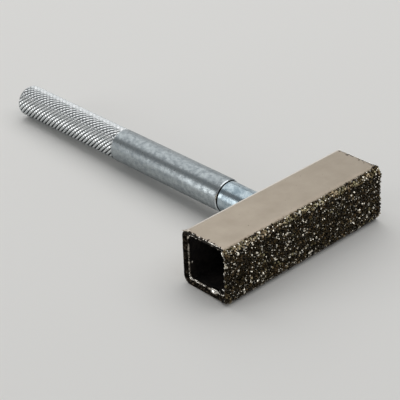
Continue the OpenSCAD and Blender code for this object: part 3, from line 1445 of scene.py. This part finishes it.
@dataclass
class Handle:
    """Turned bar with a neck, a shoulder and a knurled grip, peened into the tube.

    Attributes:
        seat: Place along Y where the neck meets the tube, in millimetres as all sizes here.
        axis: Height of the bar's axis.
        diameter: Diameter of the plain bar.
        neck_length: Length of the neck.
        plain_length: Length of the plain bar.
        grip_length: Length of the knurled grip.
        tenon_radius: Radius of the tenon, inside the neck's face.
        neck_round: Rounding of the neck's edge at the tube.
        shoulder: Height of the shoulder.
        chamfer: Chamfer on the shoulder's edge.
        ease: How far the turned edges are eased.
        undercut: Depth of the tool's groove at the foot of the shoulder.
        undercut_width: Width of that groove.
        undercut_slope: Length of the slope into it.
        bar_rings: Distance from the shoulder of the extra rings of points along the bar.
        grip_gap: Length at the end of the bar over which it drops to the crests.
        teeth: Teeth around the grip.
        tooth_depth: Depth of the grooves between teeth.
        flank_share: Share of a tooth that its flanks take, next to its flat crest.
        second_cut: Depth of the second set of grooves over that of the first, which was rolled
            harder.
        run_in: Length over which the grooves become full.
        relief: How far the crests lie below the plain bar.
        end_radius: Radius that rounds the free end.
        end_rings: Rings of points round that radius.
        facing: Marks of the tool on the end face: share of its radius, and reach along Y.
        cuts: Mesh steps between a groove and the next crest.
        crease: Angle above which an edge stays sharp, in degrees.
        peened_radius: Radius of the peened end inside the tube.
        peened_height: Height of the peened end.
        peened_rings: Rings of points on the peened end, as shares of its radius.
        peened_around: Points around each of them.
        hammered: Dents of the hammer on it.
        wall: Wall that the handle is peened through.
    """

    seat: float = 6.35
    axis: float = 6.35
    diameter: float = 7.6
    neck_length: float = 10.0
    plain_length: float = 33.8
    grip_length: float = 34.6
    tenon_radius: float = 2.5
    neck_round: float = 0.12
    shoulder: float = 0.3
    chamfer: float = 0.2
    ease: float = 0.02
    undercut: float = 0.2
    undercut_width: float = 0.34
    undercut_slope: float = 0.06
    bar_rings: Pair = (12.0, 24.0)
    grip_gap: float = 0.06
    teeth: int = 20
    tooth_depth: float = 0.25
    flank_share: float = 0.62
    second_cut: float = 0.34
    run_in: float = 0.45
    relief: float = 0.03
    end_radius: float = 0.9
    end_rings: int = 9
    facing: tuple[Pair, ...] = (
        (0.8, 0.0), (0.6, -0.015), (0.4, 0.0), (0.2, -0.015), (0.06, 0.0), (0.03, -0.02),
    )
    cuts: int = 6
    crease: float = 24.0
    peened_radius: float = 3.3
    peened_height: float = 1.1
    peened_rings: tuple[float, ...] = (0.02, 0.2, 0.4, 0.6, 0.75, 0.88, 0.96, 1.0)
    peened_around: int = 64
    hammered: Bumps = Bumps(0.05, 1.0, 12.0)
    wall: float = 1.2
    # Polished before plating: bluer and clearer than the bar, with large clouds
    neck_plate: ZincPlate = ZincPlate(
        "zinc plate on the polished neck", bright="#b6c3c9", dull="#7f8f98", smoothest=0.18,
        roughest=0.32, blotch_mm=1.3, turning_depth=0.12,
    )
    bar_plate: ZincPlate = ZincPlate("zinc plate on the turned bar")
    # Kept clean on the teeth by the hand's rubbing, with painted shade deep in the grooves and at
    # grazing angles: rows of white glints
    grip_plate: ZincPlate = ZincPlate(
        "zinc plate on the knurl", bright="#eef0f1", dull="#d0d5d6", smoothest=0.12, roughest=0.23,
        turning_depth=0.0, groove_shade="#363c3e", grazing_shade="#8d9293",
    )
    end_plate: ZincPlate = ZincPlate(
        "zinc plate on the faced end", bright="#b2b9bb", dull="#8b9498", smoothest=0.25,
        roughest=0.4,
    )
    # Sharp, and painted paler than the bar as a highlight: one bright line round the shoulder
    chamfer_highlight_plate: ZincPlate = ZincPlate(
        "painted highlight on the turned chamfer's zinc plate", bright="#e3e9ec", dull="#cbd3d7", smoothest=0.14,
        roughest=0.22,
    )
    # Painted shade: the plate in the undercut is coloured dark, for one dark line at the shoulder's
    # foot
    undercut_shade_plate: ZincPlate = ZincPlate(
        "painted shade on the plate in the undercut", bright="#3c4245", dull="#1f2426", smoothest=0.4,
        roughest=0.6,
    )

    @property
    def plates(self) -> dict[HandleZone, ZincPlate]:
        """Finishes of the turned surfaces."""
        return {
            HandleZone.NECK: self.neck_plate, HandleZone.BAR: self.bar_plate,
            HandleZone.GRIP: self.grip_plate, HandleZone.END: self.end_plate,
            HandleZone.CHAMFER: self.chamfer_highlight_plate, HandleZone.RECESS: self.undercut_shade_plate,
        }

    @property
    def around(self) -> int:
        """Points around the bar."""
        return 2 * self.teeth * self.cuts

    @property
    def crest(self) -> float:
        """Radius of the teeth's crests."""
        return self.diameter / 2 - self.relief

    @property
    def grip_start(self) -> float:
        """Place along Y where the grip begins."""
        return self.seat + self.neck_length + self.plain_length

    @property
    def free_end(self) -> float:
        """Place along Y of the free end."""
        return self.grip_start + self.grip_length

    @property
    def straight(self) -> float:
        """Length of the grip up to its rounded end."""
        return self.grip_length - self.end_radius

    @property
    def pitch(self) -> float:
        """Distance along the grip from one ring of crests to the next."""
        # The number of rings keeps the grooves at about 45 degrees. The first ring lies half a
        # pitch into the grip, and the last one where the rounded end begins
        rings = round(self.straight * 2 * self.teeth / (math.pi * self.diameter))
        return self.straight / (rings - 0.5)

    def outline(self) -> list[tuple[float, float, HandleZone]]:
        """Draws the turned outline from the tube to the grip.

        Returns:
            Radius, place along Y, and the surface that follows.
        """
        bar = self.diameter / 2
        neck = bar - self.shoulder
        groove = neck - self.undercut
        step = self.seat + self.neck_length
        slope = step - self.undercut_width
        edge = step + self.chamfer
        return [
            (self.tenon_radius, self.seat, HandleZone.NECK),
            (neck - self.neck_round, self.seat, HandleZone.NECK),
            (neck, self.seat + self.neck_round, HandleZone.NECK),
            (neck, self.seat + self.neck_length / 2, HandleZone.NECK),
            (neck, slope, HandleZone.RECESS),
            (groove, slope + self.undercut_slope, HandleZone.RECESS),
            (groove, step - self.ease, HandleZone.RECESS),
            (bar - self.chamfer, step, HandleZone.CHAMFER),
            (bar - self.ease, edge - self.ease, HandleZone.BAR),
            (bar, edge + 1.5 * self.ease, HandleZone.BAR),
            *[(bar, step + ring, HandleZone.BAR) for ring in self.bar_rings],
            (bar, self.grip_start - self.grip_gap, HandleZone.BAR),
        ]

    def knurl(self, y: np.ndarray) -> tuple[np.ndarray, np.ndarray]:
        """Works out the crossed grooves of the knurl.

        Args:
            y: Places along the grip of its rings of points.

        Returns:
            Depth below the crests, as a share of the full depth, for each ring and point, and
            which of the two sets of grooves is the nearer one.
        """
        # The CAD's first ring of crests lies half a pitch into the grip and counts as the second
        ring = (y - self.grip_start) / self.pitch + 1.5
        point = np.arange(self.around) / self.cuts
        one = (point[None, :] + ring[:, None]) / 2
        two = (point[None, :] - ring[:, None]) / 2
        from_one, from_two = (2 * np.abs(n - np.floor(n) - 0.5) for n in (one, two))
        deep = 1.0 - np.minimum(from_one / self.flank_share, 1.0)
        shallow = self.second_cut * (1.0 - np.minimum(from_two / self.flank_share, 1.0))
        return np.maximum(deep, shallow), deep >= shallow

    def build(self) -> list[bpy.types.Object]:
        """Builds the handle as one piece.

        Returns:
            The new piece.
        """
        outline = self.outline()
        step = self.pitch / self.cuts
        grip = self.grip_start + np.arange(int(round(self.straight / step)) + 1) * step
        turns = np.radians(np.linspace(0.0, 90.0, self.end_rings + 1)[1:])
        rounded = self.free_end - self.end_radius * (1.0 - np.sin(turns))
        round_limit = self.crest - self.end_radius * (1.0 - np.cos(turns))
        y = np.concatenate([grip, rounded])
        limit = np.concatenate([np.full(len(grip), self.crest), round_limit])
        depth, near_one = self.knurl(y)
        depth = depth * smoothstep((y - self.grip_start) / self.run_in)[:, None]
        radius = np.minimum(self.crest - self.tooth_depth * depth, limit[:, None])
        face = self.crest - self.end_radius
        even, level = np.ones(self.around), np.zeros(self.around)
        # Rings of points: radius, place along Y, depth in a groove, and the surface that follows
        rings = [(r * even, at, level, zone) for r, at, zone in outline]
        rings += [(*ring, HandleZone.GRIP) for ring in zip(radius, y, depth)]
        rings[-1] = (*rings[-1][:3], HandleZone.END)
        rings += [
            (face * share * even, self.free_end + reach, level, HandleZone.END)
            for share, reach in self.facing
        ]
        points = np.concatenate([self.ring(r, at) for r, at, _, _ in rings])
        zones = np.repeat([int(zone) for _, _, _, zone in rings[:-1]], self.around)
        quads = grid_quads(len(rings), self.around)
        faces, face_zones = self.split_along_grooves(quads, zones, near_one, len(outline))
        dome, dome_faces = self.peened_end()
        grooves = [*(mark for _, _, mark, _ in rings), np.zeros(len(dome))]
        closing = end_caps(len(rings), self.around)
        closing += [[point + len(points) for point in face] for face in dome_faces]
        plates = self.plates
        piece = make_piece(
            "handle_turned",
            np.concatenate([points, dome]),
            faces + closing,
            [plates[zone].build() for zone in HandleZone],
            zones=np.concatenate([face_zones, np.full(len(closing), int(HandleZone.END))]),
            crease=self.crease,
            marks={"groove": np.concatenate(grooves)},
        )
        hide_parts("handle")
        return [piece]

    def ring(self, radius: np.ndarray, y: float) -> np.ndarray:
        """Places a ring of points round the bar's axis.

        Args:
            radius: Radius of each point.
            y: Place of the ring along Y.

        Returns:
            The points.
        """
        angle = np.arange(len(radius)) * math.tau / len(radius)
        x, up = radius * np.cos(angle), self.axis - radius * np.sin(angle)
        return np.column_stack([x, np.full(len(radius), y), up])

    def split_along_grooves(
        self, quads: np.ndarray, zones: np.ndarray, near_one: np.ndarray, first: int
    ) -> tuple[list[list[int]], np.ndarray]:
        """Cuts the grip's faces in two along the nearer set of grooves, which keeps them straight.

        Args:
            quads: Faces of the whole bar, row after row.
            zones: Surface of each face.
            near_one: For each ring and point of the grip, whether the first set is nearer.
            first: Number of the grip's first row.

        Returns:
            The faces and the surface of each.
        """
        start, stop = first * self.around, (first + len(near_one) - 1) * self.around
        first_set = near_one[:-1].ravel()[:, None]
        a, b, c, d = (quads[start:stop, [k]] for k in range(4))
        one = np.where(first_set, np.hstack([a, b, d]), np.hstack([a, b, c]))
        two = np.where(first_set, np.hstack([b, c, d]), np.hstack([a, c, d]))
        faces = [*quads[:start].tolist(), *one.tolist(), *two.tolist(), *quads[stop:].tolist()]
        grip = zones[start:stop]
        return faces, np.concatenate([zones[:start], grip, grip, zones[stop:]])

    def peened_end(self) -> tuple[np.ndarray, list[list[int]]]:
        """Makes the low dome that the tenon's end was hammered into, inside the tube.

        Returns:
            Its points and its faces.
        """
        inside = self.seat - self.wall
        ball = (self.peened_radius ** 2 + self.peened_height ** 2) / (2 * self.peened_height)
        rows = []
        for share in self.peened_rings:
            radius = self.peened_radius * share
            lift = self.peened_height - ball + math.sqrt(ball ** 2 - radius ** 2)
            ring = self.ring(np.full(self.peened_around, radius), inside - lift)
            ring[:, 1] += self.hammered.at(ring) * (share < 1.0)
            rows.append(ring)
        size = len(rows), self.peened_around
        return np.concatenate(rows), grid_quads(*size).tolist() + end_caps(*size)


@dataclass(frozen=True)
class SoftLamp:
    """Rectangular soft box of the studio.

    Attributes:
        name: The lamp's name.
        towards: Direction from the part to the lamp.
        distance: How far it stands, in metres.
        size: Size across and along the handle, in metres.
        glow: Radiance of its face, where 1 lights a white surface that it surrounds to white.
    """

    name: str
    towards: Triple
    distance: float
    size: Pair
    glow: float

    def build(self, aim: Vector) -> None:
        """Hangs the lamp.

        Args:
            aim: Place that it points at.
        """
        lamp = bpy.data.lights.new(self.name, "AREA")
        lamp.shape = "RECTANGLE"
        lamp.size, lamp.size_y = self.size
        lamp.energy = self.glow * math.pi * self.size[0] * self.size[1]
        holder = bpy.data.objects.new(self.name, lamp)
        towards = Vector(self.towards).normalized()
        across = Vector((0.0, 1.0, 0.0)).cross(towards).normalized()
        turned = Matrix((across, towards.cross(across), towards)).transposed().to_4x4()
        holder.matrix_world = Matrix.Translation(aim + towards * self.distance) @ turned
        holder.visible_camera = False
        bpy.context.scene.collection.objects.link(holder)


@dataclass
class Studio:
    """Pale floor under the resting tool, soft lamps, a grey room and the camera.

    Attributes:
        handle: The handle, whose free end rests on the floor.
        tube: The tube, whose rear bottom corner rests on the floor.
        azimuth: Angle of the camera round the part, in degrees.
        elevation: Angle of the camera above the part's own level, in degrees.
        roll: Turn of the camera about its line of sight, in degrees.
        distance: Distance from the camera to its aim, in metres.
        aim: Place that the camera points at, in metres.
        lens: Focal length, in millimetres.
        sensor: Width of the camera's sensor, in millimetres.
        sight: Nearest and furthest distance that the camera sees, in metres.
        floor_width: Width of the floor, in metres.
        floor_gap: Gap between the tool and the floor, in millimetres.
        floor_colour: Colour of the floor.
        floor_roughness: Roughness of the floor.
        floor_shine: Level of the floor's reflection.
        room_colour: Colour of the room's even light.
        lamps: The soft boxes.
    """

    handle: Handle
    tube: HeadTube
    azimuth: float = -42.367
    elevation: float = 30.267
    roll: float = -2.486
    distance: float = 0.32723
    aim: Triple = (0.001355, 0.026713, 0.000684)
    lens: float = 134.05
    sensor: float = 36.0
    sight: Pair = (0.01, 20.0)
    floor_width: float = 5.0
    floor_gap: float = 0.02
    floor_colour: str = "#ebeae7"
    floor_roughness: float = 0.95
    floor_shine: float = 0.1
    room_colour: str = "#838485"
    lamps: tuple[SoftLamp, ...] = (
        SoftLamp("soft box overhead", (0.28, 0.17, 0.945), 0.60, (0.80, 1.75), 1.05),
        SoftLamp("soft box on the left", (-0.86, 0.44, 0.25), 0.55, (0.27, 0.28), 2.25),
        SoftLamp("soft box behind", (0.66, 0.72, 0.20), 0.70, (0.26, 0.60), 0.6),
    )

    def build(self) -> None:
        """Sets up the floor, the light and the camera."""
        self.build_floor()
        self.build_light()
        self.build_camera()
        bpy.context.scene.view_settings.view_transform = "Standard"

    def build_floor(self) -> None:
        """Lays the floor under the two places that the tool rests on."""
        rear = self.tube.width / 2 - self.tube.outer_radius
        drop = self.handle.axis - self.handle.crest
        run = self.handle.free_end - self.handle.end_radius - rear
        half = self.floor_width / 2
        corners = [(-half, -half, 0.0), (half, -half, 0.0), (half, half, 0.0), (-half, half, 0.0)]
        mesh = bpy.data.meshes.new("pale_floor")
        mesh.from_pydata(corners, [], [(0, 1, 2, 3)])
        floor = bpy.data.objects.new("pale_floor", mesh)
        floor.rotation_euler = (math.atan2(drop, run), 0.0, 0.0)
        floor.location = (0.0, rear * MM, -self.floor_gap * MM)
        # Matt paper: even, with no gloss
        material, tree, shader = new_material("pale paper")
        set_inputs(tree, shader, {
            "Base Color": linear(self.floor_colour), "Roughness": self.floor_roughness,
            "Specular IOR Level": self.floor_shine,
        })
        mesh.materials.append(material)
        bpy.context.scene.collection.objects.link(floor)

    def build_light(self) -> None:
        """Sets the room's even light and hangs the lamps."""
        world = bpy.data.worlds.new("grey room")
        world.use_nodes = True
        tree = world.node_tree
        set_inputs(tree, tree.nodes["Background"], {"Color": linear(self.room_colour)})
        bpy.context.scene.world = world
        for lamp in self.lamps:
            lamp.build(Vector(self.aim))

    def build_camera(self) -> None:
        """Places the camera at the photograph's angle."""
        turn, lift, roll = (math.radians(v) for v in (self.azimuth, self.elevation, self.roll))
        level = Vector((math.cos(turn), math.sin(turn), 0.0))
        away = Vector((math.sin(turn), -math.cos(turn), 0.0))
        back = away * math.cos(lift) + Vector((0.0, 0.0, math.sin(lift)))
        right = level * math.cos(roll) + back.cross(level) * math.sin(roll)
        lens = bpy.data.cameras.new("photo camera")
        lens.lens, lens.sensor_width = self.lens, self.sensor
        lens.clip_start, lens.clip_end = self.sight
        camera = bpy.data.objects.new("photo camera", lens)
        turned = Matrix((right, back.cross(right), back)).transposed().to_4x4()
        camera.matrix_world = Matrix.Translation(Vector(self.aim) + back * self.distance) @ turned
        bpy.context.scene.collection.objects.link(camera)
        bpy.context.scene.camera = camera


def main() -> None:
    """Builds the pieces in order, then the studio."""
    logging.basicConfig(level=logging.INFO, format="%(name)s %(message)s")
    tube = HeadTube()
    handle = Handle()
    for assembly in (tube, RimBeads(tube), GritCoating(tube), handle):
        for piece in assembly.build():
            log.info("%s is in place", piece.name)
    Studio(handle, tube).build()


if __name__ == "__main__":
    main()
